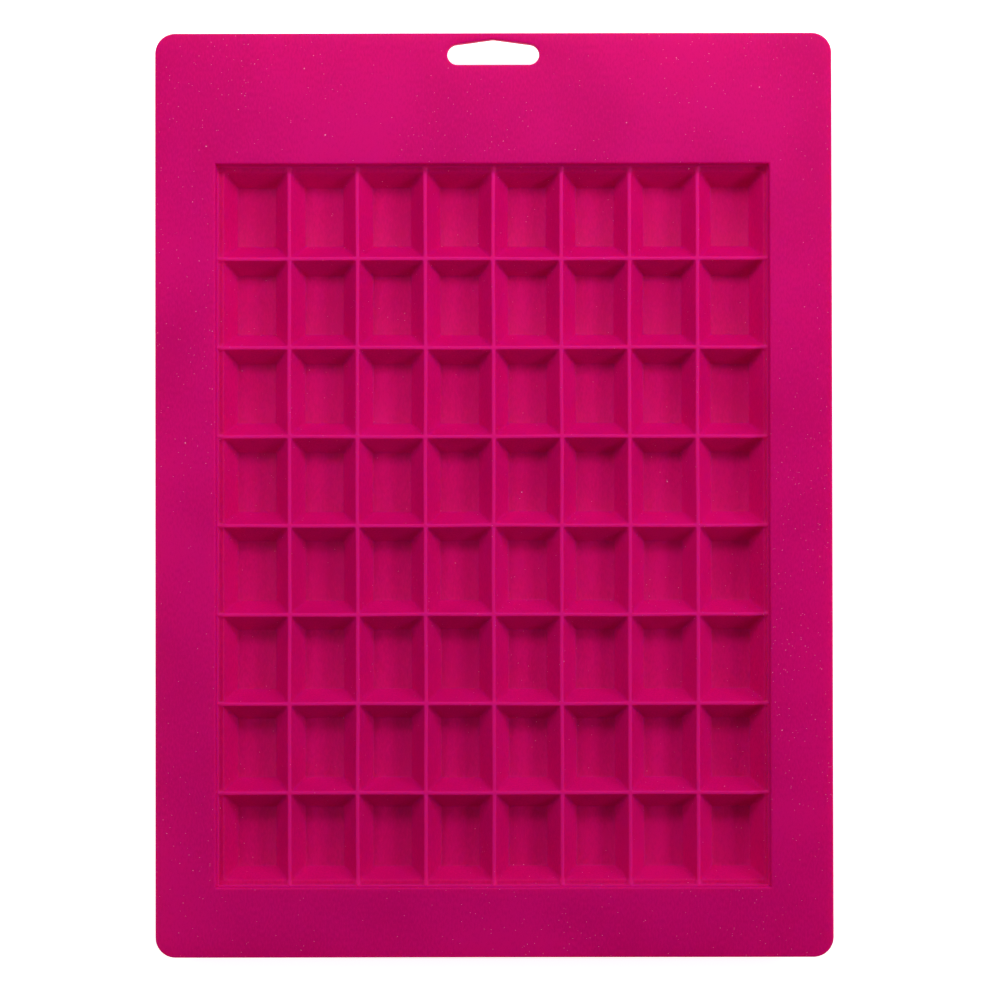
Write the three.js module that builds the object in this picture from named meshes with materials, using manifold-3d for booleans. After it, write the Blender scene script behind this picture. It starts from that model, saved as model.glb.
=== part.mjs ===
// Silicone break-apart sheet mould: a flat sheet with a hang hole at its head and a sunk field of
// 8 x 8 tapered cups. Millimetres, +Z up, +Y towards the hang hole. The cups stand on z = 0.
//
// The real mould is one silicone moulding. It is laid out here as the functional regions of that
// moulding, each a plain solid: the sheet's four sides, the four walls of the sunk field, the outer
// walls of the block of cups, the ribs between the rows, and the rows of cups with their own ribs.
import * as THREE from "three";
import { mergeVertices } from "three/addons/utils/BufferGeometryUtils.js";
import Module from "manifold-3d";

const wasm = await Module();
wasm.setup();

// Driving dimensions.
const SHEET_WIDTH = 230;
const SHEET_LENGTH = 314;
const SHEET_THICKNESS = 3;
const CORNER_RADIUS = 6.8;
const TOTAL_HEIGHT = 13;
const COLUMNS = 8;
const ROWS = 8;
const PITCH_X = 23.2;
const PITCH_Y = 30.35;
const GRID_SHIFT_X = -0.1; // the cups sit almost in the sheet's middle from side to side
const GRID_SHIFT_Y = -10.4; // and below its middle lengthways, which leaves the broad header
const FIELD_DEPTH = 3.5; // from the sheet's top face down to the tops of the ribs
const LEDGE_LEFT = 1.2; // flat step between the field's wall and the outer cups
const LEDGE_RIGHT = 0.7;
const LEDGE_ENDS = 1.1;
const FIELD_DRAFT = 0.4; // how far the field's wall leans out over its height
const RIB_TOP_WIDTH = 1;
const WALL_RUN = 4.55; // how far a cup's sloping wall runs in plan
const CUP_FLOOR = 2;
const SKIN = 2; // thickness of the sloping walls and of the field's wall
const GROOVE_TOP_WIDTH = 0.8; // flat at the top of the V groove under each rib
const SEAM = 0.3; // clearance where one region is trimmed to the slope of another
const HOLE_LENGTH = 31.6;
const HOLE_FROM_EDGE = 4.2; // from the sheet's head edge to the hole's shoulders
const HOLE_HEIGHT = 6.85; // from the shoulders to the flat lower side
const HOLE_PEAK = 2.15; // how far the peak rises above the shoulders
const ARC_STEPS = 10;
const CUT_MARGIN = 10; // how far a cutting solid reaches past what it cuts

// Levels.
const SHEET_UNDERSIDE = TOTAL_HEIGHT - SHEET_THICKNESS;
const RIB_TOP = TOTAL_HEIGHT - FIELD_DEPTH;
const LEDGE_UNDERSIDE = RIB_TOP - SKIN;

// Cross-section of the cup walls: `slope` is the run in plan for each millimetre of depth.
const CUP_DEPTH = RIB_TOP - CUP_FLOOR;
const RIB_HALF = RIB_TOP_WIDTH / 2;
const WALL_FOOT = RIB_HALF + WALL_RUN; // from a rib's middle to the edge of a cup's floor
const slope = WALL_RUN / CUP_DEPTH;
const skinAcross = SKIN * Math.hypot(1, slope);
const undersideAcross = (z) => RIB_HALF + (RIB_TOP - z) * slope - skinAcross;
const GROOVE_HALF = GROOVE_TOP_WIDTH / 2;
const GROOVE_TOP = RIB_TOP + (RIB_HALF - skinAcross - GROOVE_HALF) / slope;

// The grid of cups. Column lines run from left to right, row lines from the head to the foot.
const columnLine = (i) => GRID_SHIFT_X + (i - COLUMNS / 2) * PITCH_X;
const rowLine = (j) => GRID_SHIFT_Y + (ROWS / 2 - j) * PITCH_Y;

// The grid's four sides: where its edge is, which way is inward and how wide the ledge outside is.
const left = { edge: columnLine(0), inward: 1, ledge: LEDGE_LEFT };
const right = { edge: columnLine(COLUMNS), inward: -1, ledge: LEDGE_RIGHT };
const head = { edge: rowLine(0), inward: -1, ledge: LEDGE_ENDS };
const foot = { edge: rowLine(ROWS), inward: 1, ledge: LEDGE_ENDS };
const fromEdge = (side, across) => side.edge + side.inward * across;
const ledgeOuter = (side) => fromEdge(side, -side.ledge);
const fieldWallOuter = (side) => fromEdge(side, -side.ledge - FIELD_DRAFT - SKIN);

// ---- solids ----

function solidOf(geometry) {
  const bare = geometry.clone();
  bare.deleteAttribute("normal");
  bare.deleteAttribute("uv");
  const merged = mergeVertices(bare, 1e-5);
  const vertProperties = new Float32Array(merged.attributes.position.array);
  const triVerts = new Uint32Array(merged.index.array);
  return new wasm.Manifold(new wasm.Mesh({ numProp: 3, vertProperties, triVerts }));
}

function geometryOf(solid) {
  const mesh = solid.getMesh();
  const geometry = new THREE.BufferGeometry();
  geometry.setAttribute("position", new THREE.BufferAttribute(mesh.vertProperties, 3));
  geometry.setIndex(new THREE.BufferAttribute(mesh.triVerts, 1));
  const faceted = geometry.toNonIndexed();
  faceted.computeVertexNormals();
  return faceted;
}

function shapeOf(points) {
  return new THREE.Shape(points.map(([u, v]) => new THREE.Vector2(u, v)));
}

function extrude(shape, depth) {
  return new THREE.ExtrudeGeometry(shape, { depth, bevelEnabled: false, curveSegments: ARC_STEPS });
}

// A prism whose section is a list of [x, z] points, from y0 to y1.
function alongY(section, y0, y1) {
  const geometry = extrude(shapeOf(section), y1 - y0);
  geometry.rotateX(Math.PI / 2);
  geometry.translate(0, y1, 0);
  return solidOf(geometry);
}

// A prism whose section is a list of [y, z] points, from x0 to x1.
function alongX(section, x0, x1) {
  const geometry = extrude(shapeOf(section), x1 - x0);
  geometry.rotateX(Math.PI / 2);
  geometry.rotateZ(Math.PI / 2);
  geometry.translate(x0, 0, 0);
  return solidOf(geometry);
}

function box([x0, y0, z0], [x1, y1, z1]) {
  const geometry = new THREE.BoxGeometry(x1 - x0, y1 - y0, z1 - z0);
  geometry.translate((x0 + x1) / 2, (y0 + y1) / 2, (z0 + z1) / 2);
  return solidOf(geometry);
}

// A plate from z0 to z1 whose plan is a THREE.Shape.
function plate(shape, z0, z1) {
  const geometry = extrude(shape, z1 - z0);
  geometry.translate(0, 0, z0);
  return solidOf(geometry);
}

const joined = (solids) => solids.reduce((sum, next) => sum.add(next));
const without = (solid, cutters) => cutters.reduce((rest, cutter) => rest.subtract(cutter), solid);

// ---- sections ----

// A rib between two cups, about its middle line.
function ribSection(middle) {
  return [
    [middle - WALL_FOOT, 0],
    [middle + WALL_FOOT, 0],
    [middle + WALL_FOOT, CUP_FLOOR],
    [middle + RIB_HALF, RIB_TOP],
    [middle - RIB_HALF, RIB_TOP],
    [middle - WALL_FOOT, CUP_FLOOR],
  ];
}

// The same rib with the seam all round it: what it trims away from the rows of cups beside it.
function ribClearanceSection(middle) {
  const base = WALL_FOOT + SEAM;
  const crest = RIB_HALF + SEAM;
  return [
    [middle - base, -CUT_MARGIN],
    [middle + base, -CUT_MARGIN],
    [middle + base, CUP_FLOOR],
    [middle + crest, RIB_TOP],
    [middle + crest, TOTAL_HEIGHT],
    [middle - crest, TOTAL_HEIGHT],
    [middle - crest, RIB_TOP],
    [middle - base, CUP_FLOOR],
  ];
}

// The V groove under a rib.
function grooveSection(middle) {
  const below = -CUT_MARGIN;
  const mouth = undersideAcross(below);
  return [
    [middle - mouth, below],
    [middle + mouth, below],
    [middle + GROOVE_HALF, GROOVE_TOP],
    [middle - GROOVE_HALF, GROOVE_TOP],
  ];
}

// The outermost sloping wall with its ledge.
function outerWallSection(side) {
  const points = [
    [undersideAcross(0), 0],
    [WALL_FOOT, 0],
    [WALL_FOOT, CUP_FLOOR],
    [RIB_HALF, RIB_TOP],
    [-side.ledge, RIB_TOP],
    [-side.ledge, LEDGE_UNDERSIDE],
    [undersideAcross(LEDGE_UNDERSIDE), LEDGE_UNDERSIDE],
  ];
  return points.map(([across, z]) => [fromEdge(side, across), z]);
}

// All that lies outside the slope of the outermost wall, with the seam: a rib stops short of it.
function beyondSlopeSection(side) {
  const points = [
    [WALL_FOOT + SEAM, -CUT_MARGIN],
    [WALL_FOOT + SEAM, CUP_FLOOR],
    [RIB_HALF + SEAM, RIB_TOP],
    [RIB_HALF + SEAM, TOTAL_HEIGHT],
    [-CUT_MARGIN, TOTAL_HEIGHT],
    [-CUT_MARGIN, -CUT_MARGIN],
  ];
  return points.map(([across, z]) => [fromEdge(side, across), z]);
}

// The wall round the sunk field.
function fieldWallSection(side) {
  const base = ledgeOuter(side);
  return [
    [base, LEDGE_UNDERSIDE],
    [base, RIB_TOP],
    [base - side.inward * FIELD_DRAFT, TOTAL_HEIGHT],
    [fieldWallOuter(side), TOTAL_HEIGHT],
    [fieldWallOuter(side), LEDGE_UNDERSIDE],
  ];
}

// ---- cutters shared by the regions ----

const columnLines = Array.from({ length: COLUMNS - 1 }, (_, i) => columnLine(i + 1));
const rowLines = Array.from({ length: ROWS - 1 }, (_, j) => rowLine(j + 1));
const alongColumn = (section) => alongY(section, foot.edge - CUT_MARGIN, head.edge + CUT_MARGIN);
const alongRow = (section) => alongX(section, left.edge - CUT_MARGIN, right.edge + CUT_MARGIN);
const columnGrooves = columnLines.map((x) => alongColumn(grooveSection(x)));
const rowGrooves = rowLines.map((y) => alongRow(grooveSection(y)));
const rowClearances = rowLines.map((y) => alongRow(ribClearanceSection(y)));
const beyondEnds = [head, foot].map((side) => alongRow(beyondSlopeSection(side)));
const beyondSides = [left, right].map((side) => alongColumn(beyondSlopeSection(side)));

// ---- the cups ----

// The floors of one row's cups. Each reaches a little into the column ribs beside it.
function rowFloors(j) {
  const intoRib = 0.5;
  const floors = [];
  for (let i = 0; i < COLUMNS; i++) {
    const leftReach = i > 0 ? intoRib : 0;
    const rightReach = i < COLUMNS - 1 ? intoRib : 0;
    const low = [columnLine(i) + WALL_FOOT - leftReach, rowLine(j + 1) + WALL_FOOT, 0];
    const high = [columnLine(i + 1) - WALL_FOOT + rightReach, rowLine(j) - WALL_FOOT, CUP_FLOOR];
    floors.push(box(low, high));
  }
  return floors;
}

// One row of cups: its floors and the column ribs between them, trimmed to the cross ribs' slopes.
function cupRow(j) {
  const ribs = columnLines.map((x) => alongY(ribSection(x), rowLine(j + 1), rowLine(j)));
  const trimmed = without(joined(ribs), [...rowClearances, ...beyondEnds]);
  return without(joined([trimmed, ...rowFloors(j)]), columnGrooves);
}

// A rib that runs right across between two rows.
function crossRib(j) {
  const rib = alongX(ribSection(rowLine(j)), left.edge, right.edge);
  return without(rib, [...beyondSides, ...columnGrooves, rowGrooves[j - 1]]);
}

// A wall across the head or the foot of the cups, its ends sloped like the sides of the block.
function endWall(side) {
  const wall = alongX(outerWallSection(side), ledgeOuter(left), ledgeOuter(right));
  const slopedEnds = [
    [fromEdge(left, undersideAcross(0)), 0],
    [fromEdge(right, undersideAcross(0)), 0],
    [fromEdge(right, undersideAcross(LEDGE_UNDERSIDE)), LEDGE_UNDERSIDE],
    [right.edge + CUT_MARGIN, LEDGE_UNDERSIDE],
    [right.edge + CUT_MARGIN, TOTAL_HEIGHT],
    [left.edge - CUT_MARGIN, TOTAL_HEIGHT],
    [left.edge - CUT_MARGIN, LEDGE_UNDERSIDE],
    [fromEdge(left, undersideAcross(LEDGE_UNDERSIDE)), LEDGE_UNDERSIDE],
  ];
  return without(wall.intersect(alongColumn(slopedEnds)), columnGrooves);
}

// A wall along the left or the right side of the cups, between the end walls.
function sideWall(side) {
  const wall = alongY(outerWallSection(side), foot.edge, head.edge);
  return without(wall, [...beyondEnds, ...rowGrooves]);
}

// ---- the wall round the field and the sheet ----

function endFieldWall(side) {
  return alongX(fieldWallSection(side), fieldWallOuter(left), fieldWallOuter(right));
}

function sideFieldWall(side) {
  return alongY(fieldWallSection(side), ledgeOuter(foot), ledgeOuter(head));
}

// The hang hole: a slot with round ends whose upper side rises to a low peak.
function hangHole() {
  const radius = HOLE_HEIGHT / 2;
  const middleY = SHEET_LENGTH / 2 - HOLE_FROM_EDGE - radius;
  const endX = HOLE_LENGTH / 2 - radius;
  const hole = new THREE.Path();
  hole.moveTo(-endX, middleY - radius);
  hole.absarc(endX, middleY, radius, -Math.PI / 2, Math.PI / 2, false);
  hole.lineTo(0, middleY + radius + HOLE_PEAK);
  hole.absarc(-endX, middleY, radius, Math.PI / 2, (3 * Math.PI) / 2, false);
  return hole;
}

// One end of the sheet: `way` is +1 for the head and -1 for the foot, `inner` its inner edge.
function sheetEnd(inner, way, hole) {
  const halfWidth = SHEET_WIDTH / 2;
  const centreX = halfWidth - CORNER_RADIUS;
  const centreY = way * (SHEET_LENGTH / 2 - CORNER_RADIUS);
  const turn = (way * Math.PI) / 2;
  const clockwise = way < 0;
  const shape = new THREE.Shape();
  shape.moveTo(-halfWidth, inner);
  shape.lineTo(halfWidth, inner);
  shape.absarc(centreX, centreY, CORNER_RADIUS, 0, turn, clockwise);
  shape.absarc(-centreX, centreY, CORNER_RADIUS, turn, 2 * turn, clockwise);
  shape.closePath();
  if (hole) shape.holes.push(hole);
  return plate(shape, SHEET_UNDERSIDE, TOTAL_HEIGHT);
}

function sheetSide(x0, x1) {
  const low = [x0, fieldWallOuter(foot), SHEET_UNDERSIDE];
  const high = [x1, fieldWallOuter(head), TOTAL_HEIGHT];
  return box(low, high);
}

// ---- assembly ----

const mould = new THREE.Group();
mould.name = "sheet_mould";

function silicone() {
  return new THREE.MeshStandardMaterial({ color: 0xc40a5e, roughness: 0.55, metalness: 0 });
}

function addRegion(name, solid) {
  const mesh = new THREE.Mesh(geometryOf(solid), silicone());
  mesh.name = name;
  mould.add(mesh);
}

addRegion("header_panel", sheetEnd(fieldWallOuter(head), 1, hangHole()));
addRegion("foot_rim", sheetEnd(fieldWallOuter(foot), -1));
addRegion("left_rim", sheetSide(-SHEET_WIDTH / 2, fieldWallOuter(left)));
addRegion("right_rim", sheetSide(fieldWallOuter(right), SHEET_WIDTH / 2));
addRegion("field_wall_head", endFieldWall(head));
addRegion("field_wall_foot", endFieldWall(foot));
addRegion("field_wall_left", sideFieldWall(left));
addRegion("field_wall_right", sideFieldWall(right));
addRegion("cup_side_wall_left", sideWall(left));
addRegion("cup_side_wall_right", sideWall(right));
addRegion("cup_head_wall", endWall(head));
addRegion("cup_foot_wall", endWall(foot));
for (let j = 0; j < ROWS; j++) addRegion(`cup_row_${j + 1}`, cupRow(j));
for (let j = 1; j < ROWS; j++) addRegion(`cross_rib_${j}`, crossRib(j));

export default mould;
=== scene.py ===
import math

import bpy
import numpy as np
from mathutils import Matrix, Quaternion, Vector
from mathutils.geometry import delaunay_2d_cdt


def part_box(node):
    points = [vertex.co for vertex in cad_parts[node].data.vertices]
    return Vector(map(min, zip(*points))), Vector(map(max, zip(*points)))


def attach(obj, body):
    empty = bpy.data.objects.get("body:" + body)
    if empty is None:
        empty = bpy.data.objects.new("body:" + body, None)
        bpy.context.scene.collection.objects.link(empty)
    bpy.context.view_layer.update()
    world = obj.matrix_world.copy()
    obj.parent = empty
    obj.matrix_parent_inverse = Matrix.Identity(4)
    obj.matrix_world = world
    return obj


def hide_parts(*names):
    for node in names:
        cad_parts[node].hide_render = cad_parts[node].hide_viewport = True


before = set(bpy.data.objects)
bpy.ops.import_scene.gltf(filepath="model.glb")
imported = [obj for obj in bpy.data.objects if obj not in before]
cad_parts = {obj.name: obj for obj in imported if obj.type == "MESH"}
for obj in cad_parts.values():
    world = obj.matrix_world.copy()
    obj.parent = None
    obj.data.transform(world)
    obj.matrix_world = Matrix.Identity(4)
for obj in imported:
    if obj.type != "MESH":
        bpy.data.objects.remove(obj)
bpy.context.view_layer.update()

MM = 0.001


def box_mm(node):
    low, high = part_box(node)
    return [c / MM for c in low], [c / MM for c in high]


# ---- what the frame says ----

COLUMNS = 8
ROWS = 8
header_low, header_high = box_mm("header_panel")
left_wall = box_mm("field_wall_left")
right_wall = box_mm("field_wall_right")
head_wall = box_mm("field_wall_head")
foot_wall = box_mm("field_wall_foot")
HALF_WIDTH = header_high[0]
SHEET_HEAD = header_high[1]
SHEET_FOOT = box_mm("foot_rim")[0][1]
SHEET_TOP = header_high[2]
SHEET_UNDER = header_low[2]
RIB_TOP = box_mm("cross_rib_1")[1][2]
FIELD_UNDER = head_wall[0][2]

# ---- the mould's own section ----

CORNER_RADIUS = 6.8
WALL_FOOT = 5.05  # from a rib's middle to the edge of a cup's floor
WALL_RUN = 4.55
RIB_HALF = 0.5
CUP_FLOOR = 2.0
SKIN = 2.0
GROOVE_HALF = 0.4  # half the flat at the top of the groove under a rib
SLOPE = WALL_RUN / (RIB_TOP - CUP_FLOOR)  # run in plan for each millimetre of depth
SKIN_ACROSS = SKIN * math.hypot(1, SLOPE)
GROOVE_TOP = RIB_TOP + (RIB_HALF - SKIN_ACROSS - GROOVE_HALF) / SLOPE


class Axis:
    """One direction of the grid of cups: its rib lines, and the field walls' feet and backs."""

    def __init__(self, low_edge, high_edge, count, foot, back):
        self.lines = np.linspace(low_edge, high_edge, count + 1)
        self.foot = foot
        self.back = back

    def wedge(self, c, half):
        """Heights at c of the ribs' and the outer walls' slopes, with crests half wide each way."""
        inner = self.lines[1:-1]
        near = np.min(np.abs(c[:, None] - inner[None, :]), axis=1)
        edge = np.minimum(c - self.lines[0], self.lines[-1] - c)
        return RIB_TOP + (half - near) / SLOPE, RIB_TOP + (half - edge) / SLOPE


def beyond(c, marks):
    """How far c lies outside a pair of marks, negative inside them."""
    return np.maximum(marks[0] - c, c - marks[1])


across = Axis(
    box_mm("cup_side_wall_left")[1][0] - WALL_FOOT,
    box_mm("cup_side_wall_right")[0][0] + WALL_FOOT,
    COLUMNS,
    foot=(left_wall[1][0], right_wall[0][0]),
    back=(left_wall[0][0], right_wall[1][0]),
)
along = Axis(
    box_mm("cup_foot_wall")[1][1] - WALL_FOOT,
    box_mm("cup_head_wall")[0][1] + WALL_FOOT,
    ROWS,
    foot=(foot_wall[1][1], head_wall[0][1]),
    back=(foot_wall[0][1], head_wall[1][1]),
)

# ---- smooth joins and filleted lines ----


def smooth_max(a, b, k):
    blend = np.clip(k - np.abs(a - b), 0, None) / k
    return np.maximum(a, b) + blend * blend * k / 4


def smooth_min(a, b, k):
    return -smooth_max(-a, -b, k)


def filleted(points, radii, steps, closed=False):
    """A line through points with an arc at each inner point, or at every point if it is closed."""
    points = [Vector(p) for p in points]
    count = len(points)
    corners = range(count) if closed else range(1, count - 1)
    line = [] if closed else [points[0]]
    for radius, i in zip(radii, corners):
        before, here, after = points[i - 1], points[i], points[(i + 1) % count]
        u, v = (before - here).normalized(), (after - here).normalized()
        angle = u.angle(v)
        reach = radius / math.tan(angle / 2)
        start, end = here + u * reach, here + v * reach
        centre = here + (u + v).normalized() * (radius / math.sin(angle / 2))
        a, b = start - centre, end - centre
        turn = math.atan2(a.x * b.y - a.y * b.x, a.dot(b))
        for s in range(steps + 1):
            cos, sin = math.cos(turn * s / steps), math.sin(turn * s / steps)
            line.append(centre + Vector((a.x * cos - a.y * sin, a.x * sin + a.y * cos)))
    if not closed:
        line.append(points[-1])
    return line


# ---- heights ----

VALLEY = 0.9  # how softly two sloping walls meet in a cup's corner
FLOOR_SOFT = 0.4
CREST_SOFT = 0.35
LEDGE_DROP = 0.4  # the ledge round the cups lies a little below the ribs' crests
LEDGE_SOFT = 0.5
LEDGE = RIB_TOP - LEDGE_DROP
FLARE_HEIGHT = 0.5  # a rib rises a little where it runs into the field's wall
FLARE_LENGTH = 1.8
UNDER_VALLEY = 1.2
UNDER_FLOOR_SOFT = 1.6
UNDER_CREST_SOFT = 0.9

FIELD_DRAFT = 0.4
FIELD_FOOT_RADIUS = 0.9
FIELD_LIP_RADIUS = 0.6
FIELD_ARC_STEPS = 5
BACK_DRAFT = 0.1
BACK_RADIUS = 0.6
BACK_ARC_STEPS = 3
PROFILE_MARGIN = 3.0


def step_profile(draft, rise, radii, steps):
    """A step up from 0 at 0 to rise at draft, with its two corners rounded."""
    corners = [(-PROFILE_MARGIN, 0), (0, 0), (draft, rise), (PROFILE_MARGIN, rise)]
    return filleted(corners, radii, steps)


field_profile = step_profile(
    FIELD_DRAFT, SHEET_TOP - LEDGE, [FIELD_FOOT_RADIUS, FIELD_LIP_RADIUS], FIELD_ARC_STEPS
)
back_profile = step_profile(
    BACK_DRAFT, SHEET_UNDER - FIELD_UNDER, [BACK_RADIUS, BACK_RADIUS], BACK_ARC_STEPS
)


def along_profile(profile, d):
    return np.interp(d, [p.x for p in profile], [p.y for p in profile])


def top_height(x, y):
    """Heights of the upper face at flat arrays of x and y."""
    walls = []
    for axis, c in ((across, x), (along, y)):
        inner, edge = axis.wedge(c, RIB_HALF)
        walls.append(np.maximum(inner, smooth_min(edge, np.full_like(edge, LEDGE), LEDGE_SOFT)))
    cups = smooth_max(walls[0], walls[1], VALLEY)
    cups = smooth_max(cups, np.full_like(x, CUP_FLOOR), FLOOR_SOFT)
    outward_x, outward_y = beyond(x, across.foot), beyond(y, along.foot)
    near_wall = np.clip(np.maximum(outward_x, outward_y) / FLARE_LENGTH + 1, 0, 1)
    crest = RIB_TOP + FLARE_HEIGHT * near_wall**2
    cups = smooth_min(cups, crest, CREST_SOFT)
    rise_x = along_profile(field_profile, outward_x)
    rise_y = along_profile(field_profile, outward_y)
    rise = np.maximum(rise_x, rise_y)
    return np.where(rise > 0, np.maximum(cups, LEDGE + rise), cups)


def under_height(x, y):
    """Heights of the lower face at flat arrays of x and y."""
    sides = []
    for axis, c in ((across, x), (along, y)):
        inner, edge = axis.wedge(c, RIB_HALF - SKIN_ACROSS)
        inner = smooth_min(inner, np.full_like(inner, GROOVE_TOP), UNDER_CREST_SOFT)
        sides.append(np.maximum(inner, edge))
    block = smooth_max(sides[0], sides[1], UNDER_VALLEY)
    block = smooth_max(block, np.zeros_like(x), UNDER_FLOOR_SOFT)
    block = smooth_min(block, np.full_like(block, FIELD_UNDER), UNDER_CREST_SOFT)
    rise_x = along_profile(back_profile, beyond(x, across.back))
    rise_y = along_profile(back_profile, beyond(y, along.back))
    return np.maximum(block, 0) + np.maximum(rise_x, rise_y)


# ---- where the two faces are sampled ----

# Distances from a rib's middle: close together over its crest and at a wall's foot.
TOP_OFFSETS = (0, 0.28, 0.40, 0.52, 0.66, 1.2, 2.0, 2.9, 3.7, 4.3, 4.75, 4.95, 5.1, 5.35)
UNDER_OFFSETS = (0, 0.4, 0.8, 1.5, 2.4, 3.2, 3.7, 4.2, 5.0)
FLAT_OFFSETS = (1.7, 2.4)  # on the flat, outside the field's wall
LEDGE_STEPS = 3
CLOSEST = 0.012  # a place nearer than this to the one before is left out


def samples(axis, offsets, marks, profile):
    """Places along an axis where the face has something to show."""
    places = []
    for line in axis.lines[1:-1]:
        places += [line + o for o in offsets] + [line - o for o in offsets]
    for line, way in ((axis.lines[0], 1), (axis.lines[-1], -1)):
        places += [line + way * o for o in offsets]
    profile_places = [p.x for p in profile[1:-1]] + list(FLAT_OFFSETS)
    for mark, way, line in ((marks[0], -1, axis.lines[0]), (marks[1], 1, axis.lines[-1])):
        places += [mark + way * p for p in profile_places]
        places += [line + (mark - line) * s / LEDGE_STEPS for s in range(1, LEDGE_STEPS)]
    places += list((axis.lines[1:] + axis.lines[:-1]) / 2)
    kept = []
    for p in sorted(places):
        if not kept or p - kept[-1] > CLOSEST:
            kept.append(p)
    return np.array(kept)


top_x = samples(across, TOP_OFFSETS, across.foot, field_profile)
top_y = samples(along, TOP_OFFSETS, along.foot, field_profile)
under_x = samples(across, UNDER_OFFSETS, across.back, back_profile)
under_y = samples(along, UNDER_OFFSETS, along.back, back_profile)

# ---- the skin's parts, gathered in one list of points and faces ----

points = []
faces = []

FLAT_WITHIN = 0.004  # a quad this flat is left whole


def add_points(new):
    first = len(points)
    points.extend(new)
    return list(range(first, len(points)))


def add_grid(xs, ys, height, upward):
    """A sampled face. Each quad that isn't flat is split along the diagonal that fits it better."""
    gx, gy = np.meshgrid(xs, ys, indexing="ij")
    z = height(gx.ravel(), gy.ravel()).reshape(gx.shape)
    first = len(points)
    points.extend(zip(gx.ravel(), gy.ravel(), z.ravel()))
    mx, my = np.meshgrid((xs[1:] + xs[:-1]) / 2, (ys[1:] + ys[:-1]) / 2, indexing="ij")
    middle = height(mx.ravel(), my.ravel()).reshape(mx.shape)
    rising = (z[:-1, :-1] + z[1:, 1:]) / 2
    falling = (z[1:, :-1] + z[:-1, 1:]) / 2
    flat = np.abs(rising - falling) < FLAT_WITHIN
    use_rising = np.abs(rising - middle) <= np.abs(falling - middle)
    rows = len(ys)
    for i in range(len(xs) - 1):
        for j in range(rows - 1):
            a = first + i * rows + j
            b, c, d = a + rows, a + rows + 1, a + 1
            if flat[i, j]:
                made = [(a, b, c, d)]
            elif use_rising[i, j]:
                made = [(a, b, c), (a, c, d)]
            else:
                made = [(a, b, d), (b, c, d)]
            faces.extend(made if upward else [f[::-1] for f in made])
    index = np.arange(first, first + z.size).reshape(z.shape)
    rim = [*index[:, 0], *index[-1, 1:], *index[-2::-1, -1], *index[0, -2:0:-1]]
    return [int(i) for i in rim]


OUTLINE_STEP = 5.0
CORNER_STEPS = 12


def sheet_outline(inset):
    """The sheet's outline, anticlockwise, pulled in by inset."""
    radius = CORNER_RADIUS - inset
    x, low, high = HALF_WIDTH - inset, SHEET_FOOT + inset, SHEET_HEAD - inset
    corners = [
        ((x - radius, high - radius), 0),
        ((-x + radius, high - radius), 90),
        ((-x + radius, low + radius), 180),
        ((x - radius, low + radius), 270),
    ]
    line = []
    for n, ((cx, cy), start) in enumerate(corners):
        for s in range(CORNER_STEPS + 1):
            t = math.radians(start + 90 * s / CORNER_STEPS)
            line.append((cx + radius * math.cos(t), cy + radius * math.sin(t)))
        (nx, ny), next_start = corners[(n + 1) % len(corners)]
        t = math.radians(next_start)
        target = (nx + radius * math.cos(t), ny + radius * math.sin(t))
        px, py = line[-1]
        span = SHEET_HEAD - SHEET_FOOT if n % 2 else 2 * HALF_WIDTH
        pieces = max(2, round(span / OUTLINE_STEP))
        line += [
            (px + (target[0] - px) * s / pieces, py + (target[1] - py) * s / pieces)
            for s in range(1, pieces)
        ]
    return line


HOLE_LENGTH = 31.2
HOLE_FROM_EDGE = 4.2  # from the sheet's head edge to the hole's shoulders
HOLE_HEIGHT = 6.6
HOLE_PEAK = 2.15
HOLE_PEAK_RADIUS = 6.0
HOLE_END_RADIUS = 3.45
HOLE_ARC_STEPS = 10
HOLE_STEP = 2.5


def hang_hole(inset):
    """The hang hole's outline, anticlockwise, grown by inset: round ends and a low peak."""
    end = HOLE_LENGTH / 2
    high = SHEET_HEAD - HOLE_FROM_EDGE
    low = high - HOLE_HEIGHT
    outline = [(end, low), (end, high), (0, high + HOLE_PEAK), (-end, high), (-end, low)]
    radii = [HOLE_END_RADIUS, HOLE_END_RADIUS, HOLE_PEAK_RADIUS, HOLE_END_RADIUS, HOLE_END_RADIUS]
    line = filleted(outline, radii, HOLE_ARC_STEPS, closed=True)
    # Long straight runs are divided, and every point then moves out along the outline's normal.
    divided = []
    for p, q in zip(line, line[1:] + line[:1]):
        pieces = max(1, round((q - p).length / HOLE_STEP))
        divided += [p + (q - p) * s / pieces for s in range(pieces)]
    grown = []
    for i, p in enumerate(divided):
        tangent = (divided[(i + 1) % len(divided)] - divided[i - 1]).normalized()
        grown.append((p.x + tangent.y * inset, p.y - tangent.x * inset))
    return grown


def loft(outer, inner, outward):
    """Joins two loops of points of the same length."""
    count = len(outer)
    for i in range(count):
        j = (i + 1) % count
        quad = (outer[i], outer[j], inner[j], inner[i])
        faces.append(quad if outward else quad[::-1])


EDGE_STEPS = 4


def edge_band(outline, radius, outward):
    """Adds the rounded edge round an outline, top face to lower face. Returns its two rims."""
    quarter = [math.pi / 2 * s / EDGE_STEPS for s in range(EDGE_STEPS + 1)]
    rises = [radius * (1 - math.sin(t)) for t in quarter]
    falls = [radius * (1 - math.cos(t)) for t in quarter]
    levels = [(rise, SHEET_TOP - fall) for rise, fall in zip(rises, falls)]
    levels += [(fall, SHEET_UNDER + rise) for rise, fall in zip(rises, falls)]
    rings = [add_points([(x, y, z) for x, y in outline(inset)]) for inset, z in levels]
    for upper, lower in zip(rings[:-1], rings[1:]):
        loft(upper, lower, not outward)
    return rings[0], rings[-1]


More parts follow.
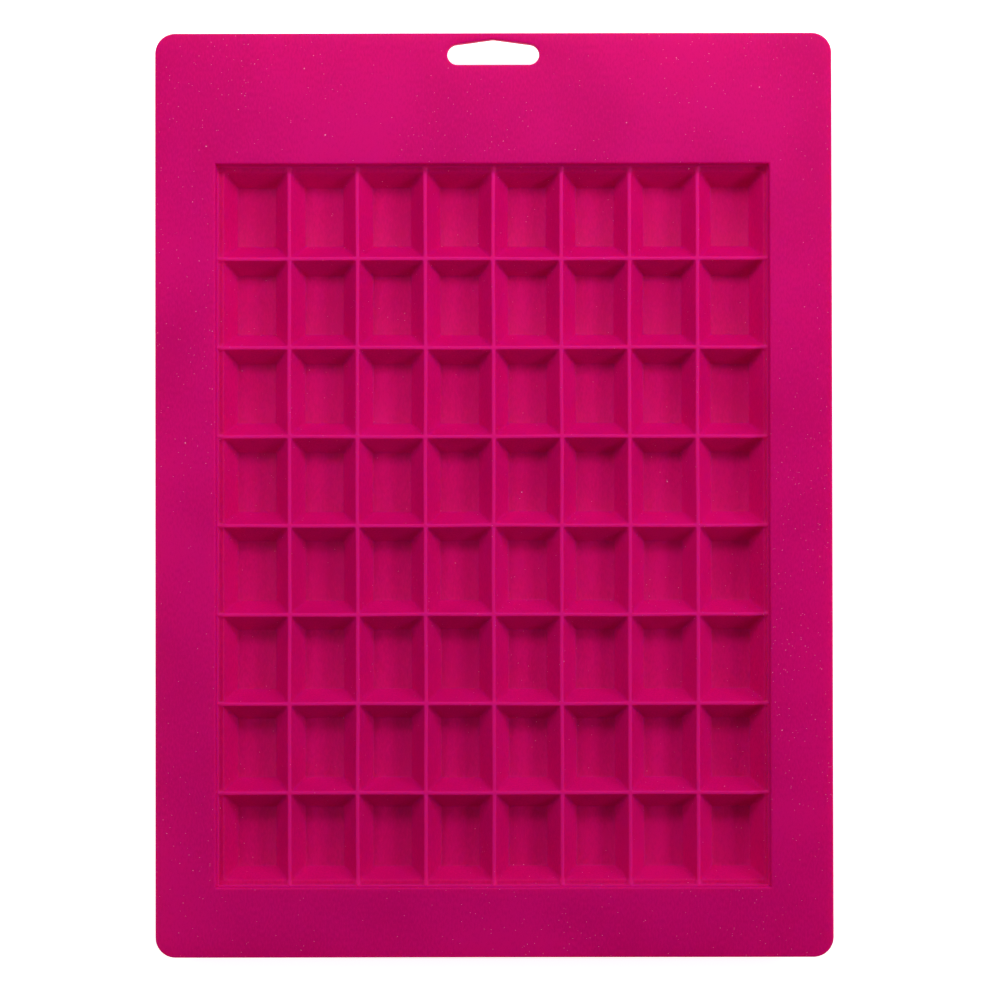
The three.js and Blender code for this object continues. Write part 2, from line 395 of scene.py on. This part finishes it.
def inside(x, y, outline):
    """Even-odd test of a point against a closed outline."""
    count = 0
    for (x0, y0), (x1, y1) in zip(outline, outline[1:] + outline[:1]):
        if (y0 > y) != (y1 > y) and x < x0 + (y - y0) * (x1 - x0) / (y1 - y0):
            count += 1
    return count % 2 == 1


CLEAR_SHARE = 0.45  # of the spacing, kept free of inner points along every edge
MERGE_WITHIN = 1e-5


def fill_flat(outer, hole, opening, z, upward, spacing):
    """Fills the flat face between the sheet's edge, the hang hole and the sampled face's rim."""
    loops = [outer, hole, opening]
    flat = [Vector(points[i][:2]) for loop in loops for i in loop]
    indices = [i for loop in loops for i in loop]
    edges = []
    start = 0
    for loop in loops:
        edges += [(start + i, start + (i + 1) % len(loop)) for i in range(len(loop))]
        start += len(loop)
    outer_line, hole_line, opening_line = (
        [tuple(points[i][:2]) for i in loop] for loop in loops
    )
    low_x, high_x = min(p[0] for p in opening_line), max(p[0] for p in opening_line)
    low_y, high_y = min(p[1] for p in opening_line), max(p[1] for p in opening_line)
    clear = spacing * CLEAR_SHARE
    length = SHEET_HEAD - SHEET_FOOT
    nx, ny = round(2 * HALF_WIDTH / spacing), round(length / spacing)
    hole_low = min(p[1] for p in hole_line) - clear
    hole_half = max(p[0] for p in hole_line) + clear
    corner_x, corner_y = HALF_WIDTH - CORNER_RADIUS, SHEET_HEAD - CORNER_RADIUS
    for i in range(1, nx):
        for j in range(1, ny):
            x = -HALF_WIDTH + 2 * HALF_WIDTH * (i + 0.5 * (j % 2)) / nx
            y = SHEET_FOOT + length * j / ny
            if abs(x) > HALF_WIDTH - clear or (abs(x) < hole_half and y > hole_low):
                continue
            if low_x - clear < x < high_x + clear and low_y - clear < y < high_y + clear:
                continue
            out_x, out_y = max(abs(x) - corner_x, 0), max(abs(y) - corner_y, 0)
            if math.hypot(out_x, out_y) > CORNER_RADIUS - clear:
                continue
            flat.append(Vector((x, y)))
            indices.append(add_points([(x, y, z)])[0])
    made = delaunay_2d_cdt(flat, edges, [], 0, MERGE_WITHIN)
    verts, tris, sources = made[0], made[2], made[3]
    for tri in tris:
        cx = sum(verts[i].x for i in tri) / len(tri)
        cy = sum(verts[i].y for i in tri) / len(tri)
        if low_x < cx < high_x and low_y < cy < high_y:
            continue
        if inside(cx, cy, hole_line) or not inside(cx, cy, outer_line):
            continue
        face = [indices[sources[i][0]] for i in tri]
        a, b, c = (verts[i] for i in tri)
        if ((b - a).cross(c - a) > 0) != upward:
            face.reverse()
        faces.append(tuple(face))


EDGE_RADIUS = 0.55
HOLE_EDGE_RADIUS = 0.45
TOP_SPACING = 4.5
UNDER_SPACING = 7.0

top_rim = add_grid(top_x, top_y, top_height, True)
under_rim = add_grid(under_x, under_y, under_height, False)
outer_top, outer_under = edge_band(sheet_outline, EDGE_RADIUS, True)
hole_top, hole_under = edge_band(hang_hole, HOLE_EDGE_RADIUS, False)
fill_flat(outer_top, hole_top, top_rim, SHEET_TOP, True, TOP_SPACING)
fill_flat(outer_under, hole_under, under_rim, SHEET_UNDER, False, UNDER_SPACING)

# ---- the slight unevenness of soft silicone ----

# The part where the ribs may wander: its middle along the sheet, and half its width and length.
SLACK_MIDDLE = -10.4
SLACK_HALF_WIDTH = 100
SLACK_HALF_LENGTH = 127
# Each wave: its height, the lengths along x and y in which it turns by a radian, and its start.
BOW_X = ((0.10, 21.0, 19.1, 0.0), (0.06, -13.7, 8.3, 1.3))
BOW_Y = ((0.10, 17.3, -24.0, 0.6), (0.05, 7.4, 11.9, 2.1))
CREST_FALL = (0.05, 9.0, 6.1, 0.0)
EDGE_DIP = 0.10
DIP_X = (31.0, 0.8)
DIP_Y = (37.0, 0.3)
DIP_FROM = 0.80  # as a share of the way out to the sheet's edge
DIP_OVER = 0.2


def relax(p):
    """Ribs wander a little between their ends, and the sheet dips a little towards its edges."""
    x, y, z = p.T

    def wave(length_x, length_y, start):
        return np.sin(x / length_x + y / length_y + start)

    in_x = np.clip(1 - (x / SLACK_HALF_WIDTH) ** 2, 0, 1)
    in_y = np.clip(1 - ((y - SLACK_MIDDLE) / SLACK_HALF_LENGTH) ** 2, 0, 1)
    hold = np.sqrt(in_x * in_y)
    bow_x = sum(height * wave(*rest) for height, *rest in BOW_X)
    bow_y = sum(height * wave(*rest) for height, *rest in BOW_Y)
    swell = np.sin(x / DIP_X[0] + DIP_X[1]) * np.sin(y / DIP_Y[0] + DIP_Y[1])
    outward = np.maximum(np.abs(x) / HALF_WIDTH, np.abs(y) / SHEET_HEAD)
    dip = EDGE_DIP * (1 + swell) * np.clip((outward - DIP_FROM) / DIP_OVER, 0, 1)
    crest = CREST_FALL[0] * (1 + wave(*CREST_FALL[1:])) * hold
    fall = dip + crest
    return np.stack([x + bow_x * hold, y + bow_y * hold, z - fall * z / SHEET_TOP], axis=1)


solid = relax(np.array(points, float)) * MM
mesh = bpy.data.meshes.new("silicone_skin")
mesh.from_pydata([tuple(p) for p in solid], [], [tuple(int(i) for i in f) for f in faces])
mesh.validate()
mesh.update()
mesh.polygons.foreach_set("use_smooth", [True] * len(mesh.polygons))
skin = bpy.data.objects.new("silicone_skin", mesh)
bpy.context.scene.collection.objects.link(skin)

# ---- materials ----

PIGMENT_DARK = (0.645, 0.0004, 0.172, 1)
PIGMENT_LIGHT = (0.735, 0.0016, 0.207, 1)
PIGMENT_FROM = 0.70
PIGMENT_SHARE = 0.85  # of the two noises' sum
# Painted highlight: the ribs' crests are painted paler where light catches them.
PAINTED_CREST_HIGHLIGHT = (0.80, 0.006, 0.24, 1)
# Painted shade: the cups are painted redder and a little darker, for the redder shade and bounced
# light down in them.
PAINTED_CUP_SHADE = (1.0, 1.0, 0.85, 1)
DUST = (0.92, 0.40, 0.60, 1)
BROAD_NOISE = {"Scale": 22.0, "Detail": 2.0}
FINE_NOISE = {"Scale": 1700.0, "Detail": 3.0}
GRAIN_NOISE = {"Scale": 2600.0, "Detail": 2.0}
GATHER_NOISE = {"Scale": 14.0, "Detail": 3.0}
DRAWN_OUT = (1.0, 0.4, 1.0)
# Heights from the ribs' top over which the crests' painted highlight comes in, and over which it
# goes out again. Below the first lies the cups' painted shade.
PAINTED_HIGHLIGHT_AND_SHADE_START = (-0.28, -0.12)
PAINTED_HIGHLIGHT_END = (0.9, 0.6)
# Each size of speck: cells for each metre, a speck's radius in cells, and the share of cells
# that hold one.
SPECKS = ((420.0, 0.09, 0.035), (900.0, 0.12, 0.035), (1700.0, 0.17, 0.08))
SPECK_GATHER = (0.40, 0.68, 0.15, 1.0)
SPECKS_IN_CUPS = 0.3
ROUGHNESS = (0.42, 0.58)
SILICONE = {
    "Specular IOR Level": 0.10,
    "IOR": 1.41,
    "Subsurface Weight": 0.7,
    "Subsurface Radius": (1.0, 0.05, 0.14),
    "Subsurface Scale": 0.004,
}
GRAIN_BUMP = {"Strength": 0.45, "Distance": 0.00005}


class Graph:
    """A material's nodes. An input is given a plain value, or another node's output to link."""

    def __init__(self, name):
        self.material = bpy.data.materials.new(name)
        self.material.use_nodes = True
        self.tree = self.material.node_tree
        self.tree.nodes.clear()

    def add(self, kind, inputs, output=0, **properties):
        made = self.tree.nodes.new(kind)
        for name, value in properties.items():
            setattr(made, name, value)
        for key, value in inputs.items():
            if isinstance(value, bpy.types.NodeSocket):
                self.tree.links.new(value, made.inputs[key])
            else:
                made.inputs[key].default_value = value
        return made.outputs[output]

    def calculate(self, operation, a, b):
        return self.add("ShaderNodeMath", {0: a, 1: b}, operation=operation)

    def remap(self, value, from_min, from_max, to_min=0.0, to_max=1.0):
        inputs = {"Value": value, "From Min": from_min, "From Max": from_max}
        inputs.update({"To Min": to_min, "To Max": to_max})
        return self.add("ShaderNodeMapRange", inputs)

    def mix(self, factor, a, b, blend_type="MIX"):
        inputs = {"Factor": factor, "A": a, "B": b}
        return self.add(
            "ShaderNodeMix", inputs, "Result", data_type="RGBA", blend_type=blend_type
        )

    def finish(self, surface):
        made = self.tree.nodes.new("ShaderNodeOutputMaterial")
        self.tree.links.new(surface, made.inputs["Surface"])
        return self.material


def silicone():
    graph = Graph("magenta_silicone")
    add, calculate, remap, mix = graph.add, graph.calculate, graph.remap, graph.mix
    place = add("ShaderNodeTexCoord", {}, "Object")
    height = add("ShaderNodeSeparateXYZ", {"Vector": place}, "Z")

    # Pigment: broad, faint patches and a fine mottle, drawn out along the sheet.
    drawn = add("ShaderNodeMapping", {"Vector": place, "Scale": DRAWN_OUT})
    broad = add("ShaderNodeTexNoise", {"Vector": place, **BROAD_NOISE})
    fine = add("ShaderNodeTexNoise", {"Vector": drawn, **FINE_NOISE})
    level = calculate("MULTIPLY", calculate("ADD", fine, broad), PIGMENT_SHARE)
    pigment = add("ShaderNodeValToRGB", {"Fac": level})
    ramp = pigment.node.color_ramp.elements
    ramp[0].position, ramp[0].color = PIGMENT_FROM, PIGMENT_DARK
    ramp[1].position, ramp[1].color = 1.0, PIGMENT_LIGHT

    # Painted highlight: the ribs' crests are painted a little paler where light catches them.
    # Painted shade: the cups' colour is painted a little deeper and redder, for the shade and
    # bounced light down in them.
    rising = remap(height, *((RIB_TOP + h) * MM for h in PAINTED_HIGHLIGHT_AND_SHADE_START))
    falling = remap(height, *((RIB_TOP + h) * MM for h in PAINTED_HIGHLIGHT_END))
    # Painted shade, deeper and redder down in the cups.
    cups_painted_shade = mix(calculate("SUBTRACT", 1.0, rising), pigment, PAINTED_CUP_SHADE, "MULTIPLY")
    # Painted highlight, paler on the ribs' crests.
    crest_painted_highlight = mix(calculate("MULTIPLY", rising, falling), cups_painted_shade, PAINTED_CREST_HIGHLIGHT)

    # Dust: sparse round specks, gathered in some places, and few of them down in the cups.
    gathered = add("ShaderNodeTexNoise", {"Vector": place, **GATHER_NOISE})
    amount = remap(gathered, *SPECK_GATHER)
    settled = remap(height, RIB_TOP * MM, SHEET_TOP * MM, SPECKS_IN_CUPS)
    thick = calculate("MULTIPLY", amount, settled)
    dust = None
    for scale, radius, share in SPECKS:
        cells = {"Vector": place, "Scale": scale}
        distance = add("ShaderNodeTexVoronoi", cells, "Distance", feature="F1")
        near = calculate("LESS_THAN", distance, radius)
        chance = add("ShaderNodeSeparateColor", {"Color": distance.node.outputs["Color"]}, "Red")
        chosen = calculate("LESS_THAN", chance, calculate("MULTIPLY", thick, share))
        specks = calculate("MULTIPLY", near, chosen)
        dust = specks if dust is None else calculate("MAXIMUM", dust, specks)
    colour = mix(dust, crest_painted_highlight, DUST)

    # Satin finish with a fine blasted grain.
    roughness = remap(fine, 0.0, 1.0, *ROUGHNESS)
    grain = add("ShaderNodeTexNoise", {"Vector": place, **GRAIN_NOISE})
    normal = add("ShaderNodeBump", {"Height": grain, **GRAIN_BUMP})
    surface = add(
        "ShaderNodeBsdfPrincipled",
        {"Base Color": colour, "Roughness": roughness, "Normal": normal, **SILICONE},
    )
    return graph.finish(surface)


skin.data.materials.append(silicone())
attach(skin, "root")
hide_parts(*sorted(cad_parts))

# ---- table and light ----

TABLE_HALF = 6.0
TABLE_DROP = 0.0002
TABLE_GLOW = 0.8
TABLE = {
    "Base Color": (0.9, 0.9, 0.9, 1),
    "Roughness": 0.9,
    "Specular IOR Level": 0.1,
    "Emission Color": (1, 1, 1, 1),
}
COVER_INSET = 3.0
COVER_HEAD_INSET = 18.0  # clear of the hang hole
COVERED_QUAD = 4  # the middle one of three by three


def table_material(name, glow):
    material = bpy.data.materials.new(name)
    material.use_nodes = True
    shader = material.node_tree.nodes["Principled BSDF"]
    for key, value in {**TABLE, "Emission Strength": glow}.items():
        shader.inputs[key].default_value = value
    return material


def table():
    """A pale table that glows a little, except where the sheet covers it."""
    near_x = ((COVER_INSET - HALF_WIDTH) * MM, (HALF_WIDTH - COVER_INSET) * MM)
    near_y = ((SHEET_FOOT + COVER_INSET) * MM, (SHEET_HEAD - COVER_HEAD_INSET) * MM)
    xs, ys = (-TABLE_HALF, *near_x, TABLE_HALF), (-TABLE_HALF, *near_y, TABLE_HALF)
    corners = [(x, y, 0) for x in xs for y in ys]
    starts = [4 * i + j for i in range(3) for j in range(3)]
    mesh = bpy.data.meshes.new("table")
    mesh.from_pydata(corners, [], [(a, a + 4, a + 5, a + 1) for a in starts])
    made = bpy.data.objects.new("table", mesh)
    bpy.context.scene.collection.objects.link(made)
    made.data.materials.append(table_material("pale_table", TABLE_GLOW))
    made.data.materials.append(table_material("pale_table_under_sheet", 0.0))
    mesh.polygons[COVERED_QUAD].material_index = 1
    made.location.z = -TABLE_DROP


def softbox(name, place, target, size, power):
    data = bpy.data.lights.new(name, "AREA")
    data.shape = "RECTANGLE"
    data.size, data.size_y = size
    data.energy = power
    lamp = bpy.data.objects.new(name, data)
    lamp.location = place
    lamp.rotation_mode = "QUATERNION"
    lamp.rotation_quaternion = (Vector(target) - Vector(place)).to_track_quat("-Z", "Y")
    bpy.context.scene.collection.objects.link(lamp)


# Each lamp: its name, its place and what it points at in metres, its size in metres, and its watts.
LAMPS = (
    ("head", (0.07, 0.42, 0.42), (0.0, 0.0, 0.0), (0.5, 0.15), 1.95),
    ("right", (0.82, 0.04, 0.56), (0.0, 0.0, 0.0), (0.7, 0.22), 3.5),
    ("left", (-0.40, -0.02, 0.42), (-0.05, 0.0, 0.0), (0.5, 0.15), 0.75),
)
WORLD_STRENGTH = 0.05

table()
for lamp in LAMPS:
    softbox(*lamp)

world = bpy.data.worlds.new("studio")
world.use_nodes = True
world.node_tree.nodes["Background"].inputs["Color"].default_value = (1, 1, 1, 1)
world.node_tree.nodes["Background"].inputs["Strength"].default_value = WORLD_STRENGTH
bpy.context.scene.world = world

# ---- camera ----

CAMERA_ABOVE = 0.9  # from the sheet's top face, in metres
CAMERA_ASIDE = 0.0028
CAMERA_BACK = -0.044
CAMERA_TURN = (0.52, 0.05, -0.09)  # away from straight down, in degrees about x, y and z
LENS = 95.5
SENSOR = 36
SHIFT_UP = 0.10

camera_data = bpy.data.cameras.new("camera")
camera_data.sensor_width = SENSOR
camera_data.lens = LENS
camera_data.shift_y = SHIFT_UP
camera_data.dof.use_dof = False
camera = bpy.data.objects.new("camera", camera_data)
turn = Vector([math.radians(angle) for angle in CAMERA_TURN])
camera.rotation_mode = "QUATERNION"
camera.rotation_quaternion = Quaternion(turn.normalized(), turn.length)
camera.location = (CAMERA_ASIDE, CAMERA_BACK, CAMERA_ABOVE + SHEET_TOP * MM)
bpy.context.scene.collection.objects.link(camera)
bpy.context.scene.camera = camera
bpy.context.scene.view_settings.view_transform = "Standard"
